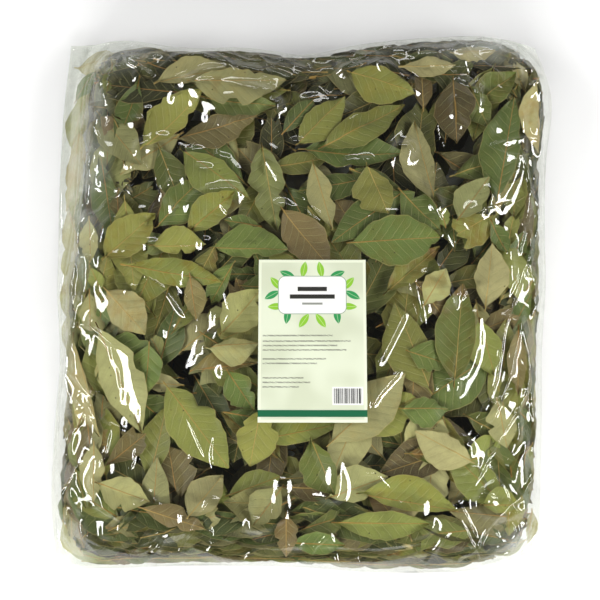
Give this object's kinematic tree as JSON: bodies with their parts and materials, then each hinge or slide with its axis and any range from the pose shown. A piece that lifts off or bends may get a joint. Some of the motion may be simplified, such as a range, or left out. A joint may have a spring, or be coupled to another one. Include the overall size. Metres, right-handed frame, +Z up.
{
  "type": "bag of dried bay leaves",
  "caption": "Clear film bag packed with loose dried bay leaves, with a plain paper label on its face, lying flat.",
  "frame": {"origin": "on the table, under the middle of the bag", "axes": "+X to the right and +Y towards the bag's mouth, seen from above with the label upright; +Z up, out of the labelled face"},
  "size_m": [0.4739, 0.512, 0.0688],
  "materials": {
    "clear_film": "clear, glossy, creased",
    "label_paper": "satin, printed in flat colours",
    "leaf_green": "dry leaf, satin",
    "leaf_olive": "dry leaf, satin",
    "leaf_khaki": "dry leaf underside, matt",
    "leaf_brown": "dry browned leaf, satin"
  },
  "bodies": {
    "root": {"bag_film": "clear_film", "label": "label_paper", "leaf_heap": "leaf_olive", "leaf_01": "leaf_khaki", "leaf_02": "leaf_green", "leaf_03": "leaf_olive", "leaf_04": "leaf_khaki", "leaf_05": "leaf_brown", "leaf_06": "leaf_green", "leaf_07": "leaf_olive", "leaf_08": "leaf_green", "leaf_09": "leaf_olive", "leaf_10": "leaf_green", "leaf_11": "leaf_olive", "leaf_12": "leaf_olive", "leaf_13": "leaf_olive", "leaf_14": "leaf_khaki", "leaf_15": "leaf_green", "leaf_16": "leaf_green", "leaf_17": "leaf_brown", "leaf_18": "leaf_olive", "leaf_19": "leaf_green", "leaf_20": "leaf_khaki", "leaf_21": "leaf_green", "leaf_22": "leaf_green", "leaf_23": "leaf_khaki", "leaf_24": "leaf_olive", "leaf_25": "leaf_green", "leaf_26": "leaf_brown", "leaf_27": "leaf_green", "leaf_28": "leaf_olive", "leaf_29": "leaf_olive", "leaf_30": "leaf_olive", "leaf_31": "leaf_khaki", "leaf_32": "leaf_brown", "leaf_33": "leaf_olive", "leaf_34": "leaf_brown", "leaf_35": "leaf_khaki", "leaf_36": "leaf_green", "leaf_37": "leaf_khaki", "leaf_38": "leaf_green", "leaf_39": "leaf_olive", "leaf_40": "leaf_olive", "leaf_41": "leaf_green", "leaf_42": "leaf_khaki", "leaf_43": "leaf_olive", "leaf_44": "leaf_green", "leaf_45": "leaf_green", "leaf_46": "leaf_khaki", "leaf_47": "leaf_khaki", "leaf_48": "leaf_khaki", "leaf_49": "leaf_khaki", "leaf_50": "leaf_khaki", "leaf_51": "leaf_brown", "leaf_52": "leaf_khaki", "leaf_53": "leaf_khaki", "leaf_54": "leaf_green", "leaf_55": "leaf_green", "leaf_56": "leaf_olive", "leaf_57": "leaf_olive"}
  },
  "joints": []
}
